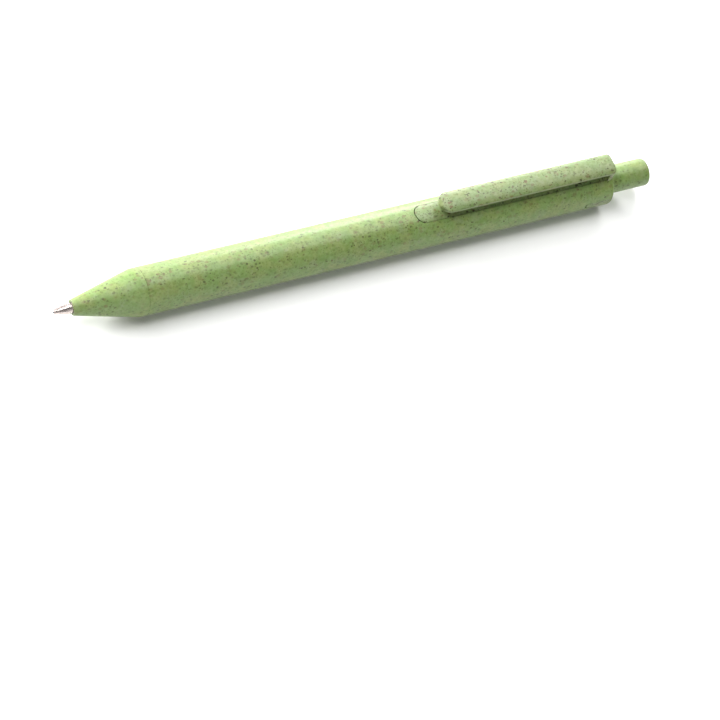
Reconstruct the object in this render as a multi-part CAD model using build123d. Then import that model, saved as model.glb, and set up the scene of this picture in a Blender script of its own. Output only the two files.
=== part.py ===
from build123d import *
import math
import os

os.makedirs("parts", exist_ok=True)

# A click gel pen with its point out. All sizes are in millimetres.
# The pen lies along X: writing point towards -X, push button towards +X, clip up (+Z).
# The origin lies under the middle of the pen, on the surface it rests on.
# Every piece is built about the X axis and lifted by the barrel's radius when it is saved.

# --- Outside of the pen ---
BARREL_RADIUS = 5.0
POINT_OUT = 4.1            # how far the metal point stands out of the nose
NOSE_TAPER = 13.6          # length of the cone, from the nose lip to the full diameter
NOSE_BAND = 1.3            # full-diameter band of the nose cone, up to the seam
BARREL_LENGTH = 109.4
BUTTON_OUT = 10.5          # how far the button stands out of the barrel

# --- Travel of the mechanism ---
RETRACT_STROKE = 5.8
OVERTRAVEL = 1.2

# --- Places along X that follow from those ---
PEN_LENGTH = POINT_OUT + NOSE_TAPER + NOSE_BAND + BARREL_LENGTH + BUTTON_OUT
POINT_END = -PEN_LENGTH / 2
NOSE_LIP = POINT_END + POINT_OUT
SHOULDER = NOSE_LIP + NOSE_TAPER
NOSE_SEAM = SHOULDER + NOSE_BAND
BARREL_REAR = NOSE_SEAM + BARREL_LENGTH
BUTTON_END = BARREL_REAR + BUTTON_OUT

# --- Fits ---
HAIRLINE = 0.03            # seam between pieces that are pressed together
SLOT_GAP = 0.05            # seam round the clip's insert and tongues
RUNNING = 0.05             # radial clearance of a piece that slides
LOOSE = 0.1
OVERLAP = 0.3              # how far parts of one moulding reach into each other

# --- Barrel and nose cone ---
BARREL_BORE = 4.1
LIP_RADIUS = 1.65
LIP_HOLE = 1.25
LIP_HOLE_LENGTH = 2.5
NOSE_WALL = 1.0
NOSE_CHAMBER = 1.75        # radius of the chamber behind the lip, for the tip holder
SPRING_SEAT = NOSE_LIP + 6.75
SEAT_RADIUS = 2.35
SPIGOT_BORE = 3.1
SPIGOT_LENGTH = 8.0
SHOULDER_BLEND = 3.0
LIP_ROUND = 0.2
SEAM_CHAMFER = 0.07        # at the joint of nose cone and barrel
SLOT_STEP = 0.06           # fine step along the rim of the slot for the insert
REAR_ROUND = 0.35          # rounded rear edge of the barrel and of the pieces flush with it

# --- Clip with its guide sleeve ---
INSERT_LENGTH = 47.8
INSERT_WIDTH = 4.3
INSERT_GAP = 0.18          # fine gap round the front end of the insert
TONGUE_LENGTH = 6.7
TONGUE_WIDTH = 1.7
TONGUE_GAP = 0.3           # open gap in front of each side tongue
CLIP_LENGTH = 42.7         # from the clip's front end to the rear end of the barrel
CLIP_WIDTH = 4.9
CLIP_REAR_STEP = 0.35      # how far the arm ends in front of the barrel's rear end
CLIP_CROWN = 8.1           # height of the clip's top above the axis
CLIP_BOTTOM = 6.85         # height of the clip's underside above the axis
CLIP_ARC = 5.0
CLIP_SIDE_ROUND = 0.3
CLIP_FRONT_ROUND = 0.9
CLIP_REAR_ROUND = 0.3
CLIP_CORNER_ROUND = 0.7
HEEL_LENGTH = 1.3          # wall that closes the gap under the arm at its rear end
STEM_WIDTH = 2.2
STEM_LENGTH = 9.0
BEAD_RADIUS = 2.2          # domed bead under the front of the clip
BEAD_SETBACK = 2.7         # from the clip's front to the middle of the bead

# --- Click mechanism ---
BUTTON_RADIUS = 3.0
BUTTON_BORE = 2.3
BUTTON_ROUND = 0.5
BUTTON_ROOF = 1.2
SLEEVE_FRONT = BARREL_REAR - 22.95
LATCH_STEP = BARREL_REAR - 15.35
KEYWAY_RADIUS = 3.6
KEYWAY_WIDTH = 1.8
KEYWAY_ANGLES = (45, 135, 225, 315)
LUG_RADIUS = 3.52
LUG_WIDTH = 1.6
CORE_RADIUS = 2.95
CROWN_TEETH = 8
TOOTH_DEPTH = 1.0
CAM_FRONT = LATCH_STEP - 0.3
CAM_LUG_START = LATCH_STEP + 1.4
CAM_LUG_LENGTH = 3.0
KEYWAY_END_GAP = 0.2
KEYWAY_REAR = CAM_LUG_START + CAM_LUG_LENGTH + RETRACT_STROKE + KEYWAY_END_GAP
CAM_SHOULDER = LATCH_STEP + 6.8
CAM_SPIGOT_LENGTH = 9.5
CAM_BORE = 1.6
ROTOR_FRONT = SLEEVE_FRONT + 0.6
ROTOR_STEM_LENGTH = 4.0
ROTOR_RIB_SETBACK = 1.4
ROTOR_RECESS_DEPTH = 3.5
ROTOR_RECESS_RADIUS = 1.8

# --- Gel refill ---
TUBE_RADIUS = 2.8
TUBE_BORE = 2.3
BALL_RADIUS = 0.35
POINT_CONE = 2.75
POINT_RADIUS = 1.1
POINT_RIM = 0.45
RIM_SETBACK = 0.22         # from the end of the ball to the rim that holds it
SOCKET_END = 0.72          # from the end of the ball to the bottom of its socket
SOCKET_RADIUS = BALL_RADIUS + 0.01
THROAT_RADIUS = 0.2
THROAT_END = 0.3           # where the ink channel starts, behind the cone
CHANNEL_RADIUS = 0.6
POINT_TAIL_RADIUS = 0.95
POINT_TAIL = 5.0
HOLDER_GAP = 0.65          # free space in front of the holder when fully pressed
HOLDER_FRONT = NOSE_LIP + LIP_HOLE_LENGTH + OVERTRAVEL + HOLDER_GAP
HOLDER_RADIUS = 1.5
HOLDER_FLANGE = SPRING_SEAT + 12.6
HOLDER_FLANGE_LENGTH = 1.0
HOLDER_PLUG_LENGTH = 5.0
INK_CHANNEL = 0.7
PLUG_LENGTH = 4.0
PLUG_FLANGE = 1.05
PLUG_VENT = 0.4
INK_LENGTH = 42.0
FOLLOWER_LENGTH = 5.0

# --- Springs ---
SPRING_WIRE = 0.18
SPRING_RADIUS = 2.0
SPRING_TURNS = 10
BALL_SPRING_WIRE = 0.08
BALL_SPRING_SIDES = 8      # the wire is so fine that it is drawn eight-sided
BALL_SPRING_RADIUS = 0.4
BALL_SPRING_TURNS = 12
BALL_SPRING_FRONT_GAP = 0.1
BALL_SPRING_REAR_GAP = 0.5


def save(name, solid):
    """Write one piece to its STEP file, at its height above the surface."""
    export_step(Pos(0, 0, BARREL_RADIUS) * solid, f"parts/{name}.step")


def turned(points, rounds=()):
    """Body of revolution about X from (x, radius) points, with some corners rounded."""
    profile = make_face(Polyline(*points, close=True))
    for corner, radius in rounds:
        vertex = profile.vertices().sort_by_distance((corner[0], corner[1], 0))[0]
        profile = fillet(vertex, radius)
    return revolve(Plane.XZ * profile, Axis.X)


def rod(start, end, radius):
    """Plain cylinder along X."""
    return turned([(start, 0), (end, 0), (end, radius), (start, radius)])


def ring(start, end, outer, inner):
    """Plain tube along X."""
    return turned([(start, inner), (end, inner), (end, outer), (start, outer)])


def round_front_block(front, rear, width, bottom, top, rear_round=0):
    """Block along X with a half-round front end, standing above the axis."""
    radius = width / 2
    middle = (front + radius + rear) / 2
    outline = Pos(middle, 0) * Rectangle(rear - front - radius, width)
    if rear_round > 0:
        outline = fillet(outline.vertices().group_by(Axis.X)[-1], rear_round)
    outline += Pos(front + radius, 0) * Circle(radius)
    return extrude(Pos(0, 0, bottom) * outline, top - bottom)


def keys(front, rear, radius, width, slant=0):
    """Four bars along X, one at each keyway, with a slanted rear end where asked."""
    half = width / 2
    outline = make_face(Polyline(
        (front, -half), (rear - slant, -half), (rear, half), (front, half), close=True))
    bar = extrude(outline, radius)
    bars = Rot(KEYWAY_ANGLES[0], 0, 0) * bar
    for angle in KEYWAY_ANGLES[1:]:
        bars += Rot(angle, 0, 0) * bar
    return bars


def crown_wedges(mouth, depth, count, radius):
    """Wedges round the axis, wide at the mouth and pointed towards +X."""
    half = math.pi * BUTTON_RADIUS / CROWN_TEETH
    wedge = extrude(make_face(Polyline(
        (mouth, -half), (mouth + depth, 0), (mouth, half), close=True)), radius)
    wedges = wedge
    for step in range(1, count):
        wedges += Rot(step * 360 / count, 0, 0) * wedge
    return wedges


def coil(start, end, radius, wire, turns, section):
    """Open coil spring along X. Start and end are the outer faces of its wire."""
    first = start + wire
    height = end - start - 2 * wire
    path = Pos(first, 0, 0) * Rot(0, 90, 0) * Helix(height / turns, height, radius)
    return sweep(Plane(path @ 0, z_dir=path % 0) * section, path, is_frenet=True)


def barrel_wall(front, inner):
    """Length of the barrel's wall with its rounded rear edge, cut square in front."""
    rear_corner = (BARREL_REAR, BARREL_RADIUS)
    return turned(
        [(front, inner), (BARREL_REAR, inner), rear_corner, (front, BARREL_RADIUS)],
        [(rear_corner, REAR_ROUND)])


def barrel():
    """Tube with a long slot for the clip and two short slots for its side tongues."""
    tube = barrel_wall(NOSE_SEAM, BARREL_BORE)
    front_rim = tube.edges().group_by(Axis.X)[0].sort_by(SortBy.RADIUS)[-1]
    tube = chamfer(front_rim, SEAM_CHAMFER)
    past_rear = BARREL_REAR + 1
    tube -= round_front_block(
        BARREL_REAR - INSERT_LENGTH, past_rear, INSERT_WIDTH, 0, 2 * BARREL_RADIUS)
    step = round_front_block(
        BARREL_REAR - INSERT_LENGTH - SLOT_STEP, past_rear,
        INSERT_WIDTH + 2 * SLOT_STEP, 0, 2 * BARREL_RADIUS)
    tube -= step & ring(
        NOSE_SEAM, past_rear, BARREL_RADIUS + 1, BARREL_RADIUS - SLOT_STEP)
    tongue_slot = round_front_block(
        BARREL_REAR - TONGUE_LENGTH, past_rear, TONGUE_WIDTH, 0, 2 * BARREL_RADIUS)
    for side in (-90, 90):
        tube -= Rot(side, 0, 0) * tongue_slot
    return tube


def nose_cone():
    """Hollow cone with the hole for the point, the spring's seat and a plain spigot."""
    slope = (BARREL_RADIUS - LIP_RADIUS) / NOSE_TAPER
    bore_start = NOSE_LIP + (SPIGOT_BORE + NOSE_WALL - LIP_RADIUS) / slope
    chamber_start = NOSE_LIP + LIP_HOLE_LENGTH
    spigot_end = NOSE_SEAM + SPIGOT_LENGTH
    spigot_radius = BARREL_BORE - RUNNING
    lip_corner = (NOSE_LIP, LIP_RADIUS)
    shoulder_corner = (SHOULDER, BARREL_RADIUS)
    return turned([
        (NOSE_LIP, LIP_HOLE), lip_corner, shoulder_corner,
        (NOSE_SEAM - SEAM_CHAMFER, BARREL_RADIUS),
        (NOSE_SEAM, BARREL_RADIUS - SEAM_CHAMFER), (NOSE_SEAM, spigot_radius),
        (spigot_end, spigot_radius), (spigot_end, SPIGOT_BORE),
        (bore_start, SPIGOT_BORE), (SPRING_SEAT, SEAT_RADIUS),
        (SPRING_SEAT, NOSE_CHAMBER), (chamber_start, NOSE_CHAMBER),
        (chamber_start, LIP_HOLE),
    ], [(lip_corner, LIP_ROUND), (shoulder_corner, SHOULDER_BLEND)])


def guide_sleeve():
    """Tube inside the barrel that guides the button, with keyways and latch notches."""
    outer = BARREL_BORE - HAIRLINE
    inner = BUTTON_RADIUS + RUNNING
    sleeve = ring(SLEEVE_FRONT, BARREL_REAR, outer, inner)
    sleeve -= rod(SLEEVE_FRONT, LATCH_STEP, KEYWAY_RADIUS)
    channels = keys(LATCH_STEP, KEYWAY_REAR, outer, KEYWAY_WIDTH)
    sleeve -= channels & rod(LATCH_STEP, KEYWAY_REAR, KEYWAY_RADIUS)
    notches = crown_wedges(LATCH_STEP, TOOTH_DEPTH, len(KEYWAY_ANGLES), outer)
    sleeve -= notches & rod(LATCH_STEP, KEYWAY_REAR, KEYWAY_RADIUS)
    return sleeve


def clip_arm():
    """Arched arm that overhangs the barrel, with a domed bead under its front end."""
    front = BARREL_REAR - CLIP_LENGTH
    rear = BARREL_REAR - CLIP_REAR_STEP
    half = CLIP_WIDTH / 2
    side_top = CLIP_CROWN - CLIP_ARC + math.sqrt(CLIP_ARC ** 2 - half ** 2)
    top_arc = ThreePointArc((-half, side_top), (0, CLIP_CROWN), (half, side_top))
    sides = Polyline(
        (half, side_top), (half, CLIP_BOTTOM), (-half, CLIP_BOTTOM), (-half, side_top))
    section = make_face(top_arc + sides)
    section = fillet(section.vertices().group_by(Axis.Y)[-1], CLIP_SIDE_ROUND)
    arm = extrude(Pos(front, 0, 0) * (Plane.YZ * section), rear - front)
    heel = Pos(rear - HEEL_LENGTH / 2, 0, 0) * Box(
        HEEL_LENGTH, CLIP_WIDTH, CLIP_BOTTOM + OVERLAP,
        align=(Align.CENTER, Align.CENTER, Align.MIN))
    arm += heel - rod(rear - 2 * HEEL_LENGTH, rear + LOOSE, BARREL_RADIUS + HAIRLINE)
    arm &= round_front_block(front, rear, CLIP_WIDTH, 0, 2 * CLIP_CROWN, CLIP_CORNER_ROUND)
    above_crown = CLIP_CROWN + LOOSE
    side_view = make_face(Polyline(
        (front, 0), (rear, 0), (rear, above_crown), (front, above_crown), close=True))
    for corner_x, corner_round in ((front, CLIP_FRONT_ROUND), (rear, CLIP_REAR_ROUND)):
        corner = side_view.vertices().sort_by_distance((corner_x, above_crown, 0))[0]
        side_view = fillet(corner, corner_round)
    arm &= extrude(Plane.XZ * side_view, CLIP_WIDTH, both=True)
    bead_middle = BARREL_RADIUS + HAIRLINE + BEAD_RADIUS
    bead = Pos(front + BEAD_SETBACK, 0, bead_middle) * Sphere(BEAD_RADIUS)
    bead &= round_front_block(front, rear, 2 * BEAD_RADIUS, 0, CLIP_BOTTOM + OVERLAP)
    return arm + bead


def clip():
    """Clip arm, stem, long insert, side tongues and guide sleeve, moulded as one piece."""
    insert = round_front_block(
        BARREL_REAR - INSERT_LENGTH + INSERT_GAP, BARREL_REAR,
        INSERT_WIDTH - 2 * SLOT_GAP, 0, 2 * BARREL_RADIUS)
    tongue = round_front_block(
        BARREL_REAR - TONGUE_LENGTH + TONGUE_GAP, BARREL_REAR,
        TONGUE_WIDTH - 2 * SLOT_GAP, 0, 2 * BARREL_RADIUS)
    flush_pieces = insert + Rot(-90, 0, 0) * tongue + Rot(90, 0, 0) * tongue
    body = flush_pieces & barrel_wall(BARREL_REAR - INSERT_LENGTH, BARREL_BORE - LOOSE)
    body += guide_sleeve()
    stem_base = BARREL_RADIUS - REAR_ROUND - LOOSE
    stem_height = CLIP_BOTTOM + OVERLAP - stem_base
    stem_middle = BARREL_REAR - CLIP_REAR_STEP - STEM_LENGTH / 2
    stem = Pos(stem_middle, 0, stem_base + stem_height / 2) * Box(
        STEM_LENGTH, STEM_WIDTH, stem_height)
    return body + stem + clip_arm()


def push_button():
    """Hollow cap with a nearly flat, softly rounded end."""
    end_corner = (BUTTON_END, BUTTON_RADIUS)
    return turned([
        (CAM_SHOULDER, BUTTON_BORE), (CAM_SHOULDER, BUTTON_RADIUS), end_corner,
        (BUTTON_END, 0), (BUTTON_END - BUTTON_ROOF, 0), (BUTTON_END - BUTTON_ROOF, BUTTON_BORE),
    ], [(end_corner, BUTTON_ROUND)])


def thrust_cam():
    """Toothed plunger under the button: crown teeth in front, four lugs, rear spigot."""
    cam = rod(CAM_FRONT, CAM_SHOULDER, CORE_RADIUS)
    cam += rod(CAM_SHOULDER, CAM_SHOULDER + CAM_SPIGOT_LENGTH, BUTTON_BORE - HAIRLINE)
    lug_end = CAM_LUG_START + CAM_LUG_LENGTH
    lugs = keys(CAM_LUG_START, lug_end, LUG_RADIUS + 1, LUG_WIDTH)
    cam += lugs & rod(CAM_LUG_START, lug_end, LUG_RADIUS)
    cam -= rod(CAM_FRONT, CAM_FRONT + ROTOR_STEM_LENGTH + 1, CAM_BORE)
    return cam - crown_wedges(CAM_FRONT, TOOTH_DEPTH, CROWN_TEETH, BUTTON_RADIUS + 1)


def cam_rotor():
    """Turning cam: four latch ribs, crown teeth towards the plunger, and a thin stem."""
    core_end = CAM_FRONT - LOOSE
    rib_start = ROTOR_FRONT + ROTOR_RIB_SETBACK
    rib_end = LATCH_STEP - LOOSE
    rotor = rod(ROTOR_FRONT, core_end, CORE_RADIUS)
    teeth = crown_wedges(core_end, TOOTH_DEPTH, CROWN_TEETH, BUTTON_RADIUS + 1)
    rotor += teeth & rod(core_end, core_end + TOOTH_DEPTH, CORE_RADIUS)
    rotor += rod(core_end, core_end + ROTOR_STEM_LENGTH, CAM_BORE - LOOSE)
    ribs = keys(rib_start, rib_end, LUG_RADIUS + 1, LUG_WIDTH, TOOTH_DEPTH)
    rotor += ribs & ring(rib_start, rib_end, LUG_RADIUS, CORE_RADIUS - LOOSE)
    return rotor - rod(ROTOR_FRONT, ROTOR_FRONT + ROTOR_RECESS_DEPTH, ROTOR_RECESS_RADIUS)


def point_body():
    """Turned metal point: cone, cylinder, tail for the holder, and the ink channel."""
    rim = POINT_END + RIM_SETBACK
    socket_end = POINT_END + SOCKET_END
    cone_end = POINT_END + POINT_CONE
    throat_end = cone_end + THROAT_END
    tail_end = HOLDER_FRONT + POINT_TAIL
    return turned([
        (rim, SOCKET_RADIUS), (rim, POINT_RIM), (cone_end, POINT_RADIUS),
        (HOLDER_FRONT, POINT_RADIUS), (HOLDER_FRONT, POINT_TAIL_RADIUS),
        (tail_end, POINT_TAIL_RADIUS), (tail_end, CHANNEL_RADIUS),
        (throat_end, CHANNEL_RADIUS), (throat_end, THROAT_RADIUS),
        (socket_end, THROAT_RADIUS), (socket_end, SOCKET_RADIUS),
    ])


def tip_holder():
    """Moulded adapter between the metal point and the ink tube, with the spring's flange."""
    tail_end = HOLDER_FRONT + POINT_TAIL
    tail_bore = POINT_TAIL_RADIUS + HAIRLINE
    flange_end = HOLDER_FLANGE + HOLDER_FLANGE_LENGTH
    plug_end = flange_end + HOLDER_PLUG_LENGTH
    front_corner = (HOLDER_FRONT, HOLDER_RADIUS)
    return turned([
        (HOLDER_FRONT, tail_bore), front_corner,
        (HOLDER_FLANGE, HOLDER_RADIUS), (HOLDER_FLANGE, TUBE_RADIUS),
        (flange_end, TUBE_RADIUS), (flange_end, TUBE_BORE - HAIRLINE),
        (plug_end, TUBE_BORE - HAIRLINE), (plug_end, INK_CHANNEL),
        (tail_end, INK_CHANNEL), (tail_end, tail_bore),
    ], [(front_corner, LIP_ROUND)])


def ball_spring():
    """Fine spring behind the ball that keeps the point sealed."""
    start = POINT_END + POINT_CONE + THROAT_END + BALL_SPRING_FRONT_GAP
    end = HOLDER_FRONT + POINT_TAIL - BALL_SPRING_REAR_GAP
    return coil(start, end, BALL_SPRING_RADIUS, BALL_SPRING_WIRE, BALL_SPRING_TURNS,
                RegularPolygon(BALL_SPRING_WIRE, BALL_SPRING_SIDES))


def refill_plug(tube_end):
    """Vented plug in the rear end of the ink tube."""
    flange_end = tube_end + PLUG_FLANGE
    return turned([
        (tube_end - PLUG_LENGTH, PLUG_VENT), (tube_end - PLUG_LENGTH, TUBE_BORE - HAIRLINE),
        (tube_end, TUBE_BORE - HAIRLINE), (tube_end, TUBE_RADIUS),
        (flange_end, TUBE_RADIUS), (flange_end, PLUG_VENT),
    ])


def refill():
    """All pieces of the gel refill, by name."""
    tube_start = HOLDER_FLANGE + HOLDER_FLANGE_LENGTH
    tube_end = ROTOR_FRONT - RUNNING - PLUG_FLANGE
    ink_start = tube_start + HOLDER_PLUG_LENGTH
    ink_end = ink_start + INK_LENGTH
    follower_end = ink_end + FOLLOWER_LENGTH
    ball_centre = POINT_END + BALL_RADIUS
    liquid_radius = TUBE_BORE - HAIRLINE
    return {
        "writing_ball": Pos(ball_centre, 0, 0) * Sphere(BALL_RADIUS),
        "point_body": point_body(),
        "ball_spring": ball_spring(),
        "tip_holder": tip_holder(),
        "refill_tube": ring(tube_start, tube_end, TUBE_RADIUS, TUBE_BORE),
        "gel_ink": rod(ink_start, ink_end, liquid_radius),
        "ink_follower": rod(ink_end, follower_end, liquid_radius),
        "refill_plug": refill_plug(tube_end),
    }


def return_spring():
    """Spring round the tip holder that pushes the refill back."""
    return coil(SPRING_SEAT + HAIRLINE, HOLDER_FLANGE - HAIRLINE,
                SPRING_RADIUS, SPRING_WIRE, SPRING_TURNS, Circle(SPRING_WIRE))


pieces = {
    "barrel": barrel(),
    "nose_cone": nose_cone(),
    "clip": clip(),
    "push_button": push_button(),
    "thrust_cam": thrust_cam(),
    "cam_rotor": cam_rotor(),
    "return_spring": return_spring(),
}
pieces.update(refill())

for name, solid in pieces.items():
    save(name, solid)
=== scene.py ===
import bmesh
import bpy
import math
from mathutils import Matrix, Vector


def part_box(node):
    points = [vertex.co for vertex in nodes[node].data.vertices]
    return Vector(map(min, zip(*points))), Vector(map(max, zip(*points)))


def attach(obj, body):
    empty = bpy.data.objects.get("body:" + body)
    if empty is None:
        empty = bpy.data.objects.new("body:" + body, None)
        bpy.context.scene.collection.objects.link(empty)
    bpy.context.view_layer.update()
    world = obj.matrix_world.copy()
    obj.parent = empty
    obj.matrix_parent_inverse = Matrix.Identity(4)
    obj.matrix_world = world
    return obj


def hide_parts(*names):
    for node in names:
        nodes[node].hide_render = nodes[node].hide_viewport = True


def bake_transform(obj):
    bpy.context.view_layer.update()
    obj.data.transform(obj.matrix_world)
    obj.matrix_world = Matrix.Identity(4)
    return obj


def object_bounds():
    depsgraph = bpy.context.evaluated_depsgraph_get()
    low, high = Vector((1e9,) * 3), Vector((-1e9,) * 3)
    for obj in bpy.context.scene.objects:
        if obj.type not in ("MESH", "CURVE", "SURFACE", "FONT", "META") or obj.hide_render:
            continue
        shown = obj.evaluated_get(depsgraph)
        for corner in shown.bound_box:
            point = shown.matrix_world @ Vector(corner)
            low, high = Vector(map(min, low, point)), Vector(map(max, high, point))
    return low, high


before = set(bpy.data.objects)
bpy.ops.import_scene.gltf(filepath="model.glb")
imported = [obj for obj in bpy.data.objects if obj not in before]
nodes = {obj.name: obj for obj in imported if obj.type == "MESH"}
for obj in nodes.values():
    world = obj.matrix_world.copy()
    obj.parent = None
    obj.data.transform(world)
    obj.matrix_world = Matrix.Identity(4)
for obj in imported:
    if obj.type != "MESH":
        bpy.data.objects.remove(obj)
cad_low, cad_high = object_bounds()
scene = bpy.context.scene

MM = 0.001
BARREL_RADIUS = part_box("barrel")[1].z / 2
PEN_MIDDLE = Vector(((cad_low.x + cad_high.x) / 2, 0, BARREL_RADIUS))   # on the barrel's axis


# ---------------------------------------------------------------- camera

CAMERA_FROM = Vector((-0.4226, -0.3973, 0.8146))   # from the pen's middle to the camera
CAMERA_DISTANCE = 625 * MM
CAMERA_LENS = 150.3
SENSOR = 36.0
PEN_SLOPE = math.radians(13.4)     # how far the pen's axis rises in the frame
PEN_IN_FRAME = (0.0018, 0.1685)    # the pen's middle from the frame's centre, in frame widths


def make_camera():
    """Long-lens camera above the pen, rolled so that the pen rises to the right."""
    data = bpy.data.cameras.new("camera")
    data.lens = CAMERA_LENS
    data.sensor_width = SENSOR
    data.clip_start = 0.01
    data.clip_end = 20
    back = CAMERA_FROM.normalized()
    along = (Vector((1, 0, 0)) - back * back.x).normalized()
    across = back.cross(along)
    right = along * math.cos(PEN_SLOPE) - across * math.sin(PEN_SLOPE)
    up = across * math.cos(PEN_SLOPE) + along * math.sin(PEN_SLOPE)
    aimed = Matrix((right, up, back)).transposed()
    to_pen = Vector((PEN_IN_FRAME[0] * SENSOR, PEN_IN_FRAME[1] * SENSOR, -CAMERA_LENS))
    turn = to_pen.rotation_difference(Vector((0, 0, -1))).to_matrix()
    camera = bpy.data.objects.new("camera", data)
    place = Matrix.Translation(PEN_MIDDLE + back * CAMERA_DISTANCE)
    camera.matrix_world = place @ (aimed @ turn).to_4x4()
    scene.collection.objects.link(camera)
    scene.camera = camera


# ---------------------------------------------------------------- light and floor

LIGHT_DISTANCE = 0.6
SURROUND_STRENGTH = 0.03
FLOOR_HALF_SIDE = 4.0


def soft_light(name, along, elevation, length, depth, power):
    """Softbox facing the pen, at an elevation of 0 degrees behind it to 180 in front of it."""
    data = bpy.data.lights.new(name, "AREA")
    data.shape = "RECTANGLE"
    data.size = length
    data.size_y = depth
    data.energy = power
    angle = math.radians(elevation)
    direction = Vector((0, math.cos(angle), math.sin(angle)))
    light = bpy.data.objects.new(name, data)
    light.location = PEN_MIDDLE + direction * LIGHT_DISTANCE + Vector((along, 0, 0))
    light.rotation_mode = "QUATERNION"
    light.rotation_quaternion = direction.to_track_quat("Z", "X")
    scene.collection.objects.link(light)


def make_lights():
    """Strong low light from behind, softer light from above and in front, a dim surround."""
    world = bpy.data.worlds.new("surround")
    scene.world = world
    world.use_nodes = True
    background = world.node_tree.nodes["Background"]
    background.inputs["Color"].default_value = (1, 1, 1, 1)
    background.inputs["Strength"].default_value = SURROUND_STRENGTH
    # name, shift along the pen, elevation, length along the pen, depth, watts
    soft_light("low_left", -0.3, 5, 0.6, 0.14, 19.0)
    soft_light("low_right", 0.3, 5, 0.6, 0.14, 4.9)
    soft_light("high_left", -0.3, 74, 0.6, 0.14, 4.3)
    soft_light("high_right", 0.3, 67, 0.6, 0.26, 3.1)
    soft_light("top_right", 0.3, 90, 0.6, 0.14, 0.45)
    soft_light("front_low", 0, 169, 1.2, 0.14, 2.3)


def make_floor():
    """White table top that the pen lies on."""
    mesh = bpy.data.meshes.new("floor")
    half = FLOOR_HALF_SIDE
    corners = [(-half, -half, 0), (half, -half, 0), (half, half, 0), (-half, half, 0)]
    mesh.from_pydata(corners, [], [(0, 1, 2, 3)])
    mesh.materials.append(floor_material())
    floor = bpy.data.objects.new("floor", mesh)
    scene.collection.objects.link(floor)


# ---------------------------------------------------------------- node helpers

MIX_FIRST, MIX_SECOND, MIX_RESULT = 6, 7, 2     # the colour sockets of a Mix node


class Graph:
    """Short names for building one material's node tree."""

    def __init__(self, name):
        self.material = bpy.data.materials.new(name)
        self.material.use_nodes = True
        self.tree = self.material.node_tree
        self.shader = self.tree.nodes["Principled BSDF"]

    def put(self, target, value):
        """Give an input a number, a colour or another node's output."""
        if isinstance(value, bpy.types.NodeSocket):
            self.tree.links.new(value, target)
        elif isinstance(value, tuple) and len(value) == 3 and target.type == "RGBA":
            target.default_value = (*value, 1)
        else:
            target.default_value = value

    def node(self, kind, settings=None, **inputs):
        """Add a node, with its settings and its inputs by name."""
        made = self.tree.nodes.new(kind)
        for key, value in (settings or {}).items():
            setattr(made, key, value)
        for key, value in inputs.items():
            self.put(made.inputs[key.replace("_", " ")], value)
        return made

    def place(self, scale=(1, 1, 1), turn=(0, 0, 0), shift=(0, 0, 0)):
        """Position on the piece in millimetres, stretched and turned."""
        position = self.node("ShaderNodeTexCoord").outputs["Object"]
        per_metre = [s / MM for s in scale]
        made = self.node("ShaderNodeMapping", Vector=position, Location=shift, Rotation=turn,
                         Scale=per_metre)
        return made.outputs["Vector"]

    def noise(self, vector, scale, detail=2.0, roughness=0.5, distortion=0.0):
        made = self.node("ShaderNodeTexNoise", Vector=vector, Scale=scale, Detail=detail,
                         Roughness=roughness, Distortion=distortion)
        return made.outputs["Fac"]

    def bend(self, vector, scale, amount):
        """The same position shifted a little by noise, so that spots get uneven edges."""
        noise = self.node("ShaderNodeTexNoise", Vector=vector, Scale=scale, Detail=2.0)
        made = self.node("ShaderNodeVectorMath", {"operation": "MULTIPLY_ADD"})
        self.put(made.inputs[0], noise.outputs["Color"])
        self.put(made.inputs[1], (amount, amount, amount))
        self.put(made.inputs[2], vector)
        return made.outputs[0]

    def steps(self, value, low, high):
        """0 at low, 1 at high, smooth between them. high may lie below low."""
        made = self.node("ShaderNodeMapRange", {"interpolation_type": "SMOOTHSTEP"},
                         Value=value, From_Min=low, From_Max=high)
        return made.outputs["Result"]

    def span(self, value, low, high):
        """A 0 to 1 value spread evenly over low to high."""
        made = self.node("ShaderNodeMapRange", Value=value, To_Min=low, To_Max=high)
        return made.outputs["Result"]

    def math(self, operation, first, second):
        made = self.node("ShaderNodeMath", {"operation": operation})
        self.put(made.inputs[0], first)
        self.put(made.inputs[1], second)
        return made.outputs[0]

    def mix(self, factor, first, second, blend="MIX"):
        made = self.node("ShaderNodeMix", {"data_type": "RGBA", "blend_type": blend},
                         Factor=factor)
        self.put(made.inputs[MIX_FIRST], first)
        self.put(made.inputs[MIX_SECOND], second)
        return made.outputs[MIX_RESULT]

    def bump(self, height, strength, depth, below=None):
        """Normal for a height of 0 to 1 that stands for depth mm, on top of the one below."""
        made = self.node("ShaderNodeBump", Strength=strength, Distance=depth * MM, Height=height)
        if below is not None:
            self.put(made.inputs["Normal"], below)
        return made.outputs["Normal"]

    def finish(self, **inputs):
        """Set the shader's inputs and return the material."""
        for key, value in inputs.items():
            self.put(self.shader.inputs[key.replace("_", " ")], value)
        return self.material


def floor_material():
    """Plain white, with a very slightly uneven gloss."""
    g = Graph("floor_white")
    cloud = g.noise(g.place(), scale=0.01)
    return g.finish(Base_Color=(0.9, 0.9, 0.9), Roughness=g.span(cloud, 0.55, 0.65))


# ---------------------------------------------------------------- straw-fibre plastic

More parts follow.
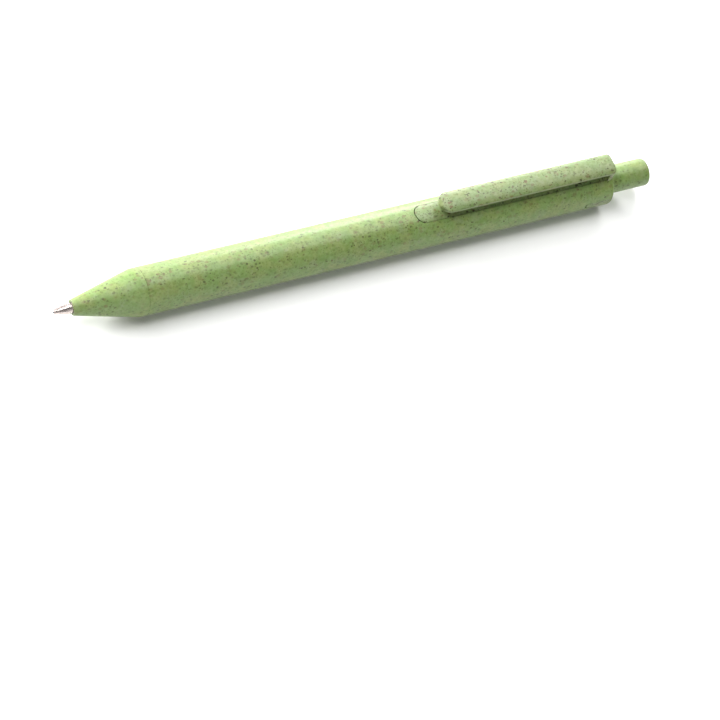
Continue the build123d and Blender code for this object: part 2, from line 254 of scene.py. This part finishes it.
# Kinds of flake: cells per mm, largest radius in mm, share of the cells that hold one, stretch
# along the pen, strength, colour, shift of the pattern.
FLAKES = (
    (1.5, 0.34, 0.7, 1.2, 0.45, (0.085, 0.12, 0.03), 41),       # deep green
    (1.05, 0.45, 0.55, 1.4, 0.6, (0.135, 0.085, 0.035), 23),    # brown
    (1.3, 0.32, 0.7, 1.3, 0.9, (0.05, 0.05, 0.018), 0),         # dark
    (2.2, 0.2, 0.6, 1.0, 0.8, (0.06, 0.065, 0.02), 11),         # fine and dark
)
FLAKE_SMALLEST = 0.5       # share of the largest radius
FLAKE_EDGE = 0.3           # how much of its radius a flake's edge fades over
FLAKE_FAINTEST = 0.4       # share of the full strength

FIBRE_LAYERS = ((0.35, 3), (-0.5, 17), (0.05, 29))    # slant in radians, shift of the pattern
FIBRE_CELL = (0.45, 3.2, 3.2)                         # cells per mm along and across the pen
FIBRE_COLOUR = (0.36, 0.37, 0.18)
FIBRE_STRENGTH = 0.2


def specks(g, vector, per_mm, radius, share, stretch, shift):
    """Mask of scattered flakes of up to radius mm; share of the cells hold one."""
    moved = g.node("ShaderNodeMapping", Vector=vector, Location=(shift, shift, shift),
                   Scale=(1 / stretch, 1, 1))
    cell = g.node("ShaderNodeTexVoronoi", Scale=per_mm, Vector=moved.outputs["Vector"])
    lot = g.node("ShaderNodeSeparateColor", Color=cell.outputs["Color"])
    largest = radius * per_mm
    size = g.span(lot.outputs["Red"], FLAKE_SMALLEST * largest, largest)
    inside = g.math("SUBTRACT", size, cell.outputs["Distance"])
    mask = g.steps(inside, 0, FLAKE_EDGE * largest)
    chosen = g.steps(lot.outputs["Green"], 1 - share, 1.02 - share)
    strength = g.span(lot.outputs["Blue"], FLAKE_FAINTEST, 1.0)
    return g.math("MULTIPLY", g.math("MULTIPLY", mask, chosen), strength)


def fibres(g):
    """Mask of short thin straw fibres that lie roughly along the pen."""
    found = None
    for slant, shift in FIBRE_LAYERS:
        place = g.place(scale=FIBRE_CELL, turn=(0, slant, slant), shift=(shift, shift, 0))
        strand = g.node("ShaderNodeTexVoronoi", Scale=1.0, Vector=place)
        lot = g.node("ShaderNodeSeparateColor", Color=strand.outputs["Color"])
        mask = g.steps(strand.outputs["Distance"], 0.26, 0.12)
        chosen = g.steps(lot.outputs["Blue"], 0.78, 0.82)
        mask = g.math("MULTIPLY", mask, chosen)
        found = mask if found is None else g.math("MAXIMUM", found, mask)
    return found


def clouded_green(g, green, warm, grey):
    """The plastic's own colour: three close tones in soft clouds, under a finer mottling."""
    clouds = g.noise(g.place(), scale=0.22, detail=3.0, roughness=0.6)
    colour = g.mix(g.steps(clouds, 0.4, 0.62), green, warm)
    haze = g.noise(g.place(shift=(7, 3, 9)), scale=0.3, detail=4.0, roughness=0.65)
    colour = g.mix(g.math("MULTIPLY", g.steps(haze, 0.5, 0.72), 0.8), colour, grey)
    fine = g.noise(g.place(shift=(2, 8, 4)), scale=1.1, detail=3.0, roughness=0.65)
    shade = g.node("ShaderNodeCombineColor", Red=g.span(fine, 0.55, 1.45),
                   Green=g.span(fine, 0.68, 1.32), Blue=g.span(fine, 0.25, 1.75))
    return g.mix(1.0, colour, shade.outputs["Color"], "MULTIPLY")


def flaked(g, colour, speck_strength):
    """The colour with every kind of flake laid over it, denser in some places than in others."""
    bent = g.bend(g.place(), scale=2.2, amount=0.45)
    cluster = g.noise(g.place(shift=(5, 1, 6)), scale=0.16)
    cluster = g.span(g.steps(cluster, 0.36, 0.62), 0.65, 1.2)
    for per_mm, radius, share, stretch, strength, tone, shift in FLAKES:
        mask = specks(g, bent, per_mm, radius, share, stretch, shift)
        mask = g.math("MULTIPLY", mask, g.math("MULTIPLY", cluster, strength * speck_strength))
        colour = g.mix(mask, colour, tone)
    return colour


def straw_plastic(name, green, warm, grey, speck_strength):
    """Satin green plastic filled with straw: dark, brown and green flakes and fibres."""
    g = Graph(name)
    colour = flaked(g, clouded_green(g, green, warm, grey), speck_strength)
    strands = fibres(g)
    colour = g.mix(g.math("MULTIPLY", strands, FIBRE_STRENGTH), colour, FIBRE_COLOUR)

    grain = g.noise(g.place(), scale=5.0, detail=3.0, roughness=0.6)
    waviness = g.noise(g.place(scale=(0.25, 1, 1)), scale=0.6, detail=1.0)
    normal = g.bump(waviness, 0.25, 0.05)
    normal = g.bump(grain, 0.3, 0.01, normal)
    normal = g.bump(strands, 0.3, 0.01, normal)
    return g.finish(Base_Color=colour, Roughness=g.span(grain, 0.34, 0.44), Normal=normal,
                    IOR=1.49)


# ---------------------------------------------------------------- other materials

def metal(name, colour, rough_low, rough_high, rings_per_mm, ring_depth):
    """Turned or drawn metal with fine rings round the X axis and slight haze."""
    g = Graph(name)
    rings = g.noise(g.place(scale=(1, 0.02, 0.02)), rings_per_mm, detail=3.0, roughness=0.7)
    haze = g.noise(g.place(), scale=1.2, detail=3.0)
    tint = g.mix(haze, colour, tuple(c * 0.9 for c in colour))
    return g.finish(Base_Color=tint, Metallic=1.0, Roughness=g.span(haze, rough_low, rough_high),
                    Normal=g.bump(rings, 0.4, ring_depth))


def moulded_white(name, colour):
    """Natural white moulded plastic with faint flow marks."""
    g = Graph(name)
    flow = g.noise(g.place(scale=(0.3, 1, 1)), scale=0.9, detail=3.0)
    tint = g.mix(flow, colour, tuple(c * 0.93 for c in colour))
    grain = g.noise(g.place(), scale=8.0)
    return g.finish(Base_Color=tint, Roughness=g.span(grain, 0.32, 0.42),
                    Normal=g.bump(grain, 0.2, 0.005), IOR=1.48)


def clear_tube(name):
    """Clear, slightly milky extruded tube."""
    g = Graph(name)
    streak = g.noise(g.place(scale=(0.02, 1, 1)), scale=1.5)
    tint = g.mix(streak, (0.93, 0.95, 0.95), (0.86, 0.89, 0.9))
    return g.finish(Base_Color=tint, Roughness=g.span(streak, 0.12, 0.2), IOR=1.5,
                    Transmission_Weight=0.85)


def wet(name, colour, other, rough):
    """Gel or grease: glossy, with soft swirls of a second tone."""
    g = Graph(name)
    swirl = g.noise(g.place(scale=(0.3, 1, 1)), scale=0.7, detail=3.0, distortion=1.0)
    return g.finish(Base_Color=g.mix(swirl, colour, other),
                    Roughness=g.span(swirl, rough, rough + 0.08), IOR=1.4)


def coat(material, *names):
    """Give CAD nodes one material."""
    for name in names:
        data = nodes[name].data
        data.materials.clear()
        data.materials.append(material)


shell = straw_plastic("straw_shell", green=(0.168, 0.26, 0.074), warm=(0.195, 0.258, 0.076),
                      grey=(0.188, 0.247, 0.105), speck_strength=0.85)
clip_plastic = straw_plastic("straw_clip", green=(0.17, 0.24, 0.09), warm=(0.193, 0.24, 0.092),
                             grey=(0.19, 0.235, 0.12), speck_strength=1.3)
white = moulded_white("natural_white", (0.8, 0.8, 0.76))
wire_steel = metal("drawn_steel", (0.62, 0.62, 0.64), 0.22, 0.34, 3.0, 0.002)
nickel = metal("nickel_silver", (0.62, 0.54, 0.51), 0.22, 0.32, 6.0, 0.003)
carbide = metal("carbide", (0.42, 0.42, 0.45), 0.15, 0.25, 1.0, 0.001)
black_gel = wet("black_gel", (0.01, 0.01, 0.014), (0.02, 0.02, 0.03), 0.12)
grease = wet("follower_grease", (0.75, 0.68, 0.42), (0.85, 0.78, 0.55), 0.2)

coat(shell, "barrel", "nose_cone", "push_button")
coat(clip_plastic, "clip")
coat(white, "thrust_cam", "cam_rotor", "tip_holder", "refill_plug")
coat(wire_steel, "return_spring", "ball_spring")
coat(nickel, "point_body")
coat(carbide, "writing_ball")
coat(clear_tube("clear_tube"), "refill_tube")
coat(black_gel, "gel_ink")
coat(grease, "ink_follower")


# ---------------------------------------------------------------- pieces built here

WIRE_SIDES = 12

SPRING_WIRE = 0.18 * MM              # radius of the wire
SPRING_ACTIVE_TURNS = 8
SPRING_CLOSED_TURNS = 2              # at each end
SPRING_CLOSED_PITCH = 2.04 * SPRING_WIRE
SPRING_STEPS = 28                    # points in each turn
SPRING_EASE = 0.5                    # turns over which the pitch changes

RIDGE_HALF_WIDTH = 0.05 * MM
RIDGE_HEIGHT = 0.012 * MM
RIDGE_ROOT = 0.02 * MM               # how deep its feet stand in the barrel
RIDGE_TOP = 0.4                      # width of its flat top, as a share of the whole
RIDGE_STEPS = 60
RIDGE_FROM_BARREL_END = 0.2 * MM
RIDGE_END = 10.9 * MM                # just in front of the clip's insert


def skinned(name, rings):
    """Smooth piece through a row of rings of points, closed at both ends."""
    shape = bmesh.new()
    rows = [[shape.verts.new(point) for point in ring] for ring in rings]
    for near, far in zip(rows, rows[1:]):
        for k in range(len(near)):
            face = shape.faces.new((near[k], near[k - 1], far[k - 1], far[k]))
            face.smooth = True
    shape.faces.new(rows[0])
    shape.faces.new(reversed(rows[-1]))
    bmesh.ops.recalc_face_normals(shape, faces=shape.faces)
    mesh = bpy.data.meshes.new(name)
    shape.to_mesh(mesh)
    shape.free()
    piece = bpy.data.objects.new(name, mesh)
    scene.collection.objects.link(piece)
    return piece


def wire_rings(points, radius):
    """Rings of points round a wire that follows a list of points."""
    rings = []
    for i, point in enumerate(points):
        ahead = points[min(i + 1, len(points) - 1)] - points[max(i - 1, 0)]
        side = ahead.cross(Vector((1, 0, 0))).normalized()
        other = ahead.cross(side).normalized()
        ring = []
        for k in range(WIRE_SIDES):
            angle = 2 * math.pi * k / WIRE_SIDES
            ring.append(point + (side * math.cos(angle) + other * math.sin(angle)) * radius)
        rings.append(ring)
    return rings


def spring_points(low_x, high_x, radius):
    """Middle of the wire of a compression spring along X whose end turns lie close together."""
    turns = SPRING_ACTIVE_TURNS + 2 * SPRING_CLOSED_TURNS
    first = low_x + SPRING_WIRE
    last = high_x - SPRING_WIRE
    closed_ends = 2 * SPRING_CLOSED_TURNS * SPRING_CLOSED_PITCH
    open_pitch = (last - first - closed_ends) / SPRING_ACTIVE_TURNS
    x = first
    points = []
    for i in range(turns * SPRING_STEPS + 1):
        turn = i / SPRING_STEPS
        angle = 2 * math.pi * turn
        points.append(Vector((x, radius * math.cos(angle),
                              BARREL_RADIUS + radius * math.sin(angle))))
        middle = turn + 0.5 / SPRING_STEPS
        from_closed = min(middle, turns - middle) - SPRING_CLOSED_TURNS
        ease = min(max(from_closed / SPRING_EASE + 0.5, 0), 1)
        x += (SPRING_CLOSED_PITCH + (open_pitch - SPRING_CLOSED_PITCH) * ease) / SPRING_STEPS
    # The easing leaves the length a little off, so it is stretched to end exactly at last.
    scale = (last - first) / (points[-1].x - first)
    for point in points:
        point.x = first + (point.x - first) * scale
    return points


def visual_spring():
    """Return spring with closed end turns, which stretches between barrel and refill."""
    low_end, high_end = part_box("return_spring")
    points = spring_points(low_end.x, high_end.x, high_end.y - SPRING_WIRE)
    spring = skinned("coiled_return_spring", wire_rings(points, SPRING_WIRE))
    spring.data.materials.append(wire_steel)
    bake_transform(spring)
    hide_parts("return_spring")


def parting_line():
    """Fine moulding ridge along the top of the barrel, in front of the clip's insert."""
    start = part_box("barrel")[0].x + RIDGE_FROM_BARREL_END
    top = RIDGE_TOP * RIDGE_HALF_WIDTH
    section = ((-RIDGE_HALF_WIDTH, -RIDGE_ROOT), (-top, RIDGE_HEIGHT), (top, RIDGE_HEIGHT),
               (RIDGE_HALF_WIDTH, -RIDGE_ROOT))
    rings = []
    for i in range(RIDGE_STEPS + 1):
        x = start + (RIDGE_END - start) * i / RIDGE_STEPS
        ring = []
        for y, rise in section:
            surface = BARREL_RADIUS + math.sqrt(BARREL_RADIUS ** 2 - y ** 2)
            ring.append((x, y, surface + rise))
        rings.append(ring)
    ridge = skinned("parting_line", rings)
    ridge.data.materials.append(shell)
    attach(ridge, "barrel_body")


visual_spring()
parting_line()
make_camera()
make_lights()
make_floor()
scene.view_settings.view_transform = "Standard"
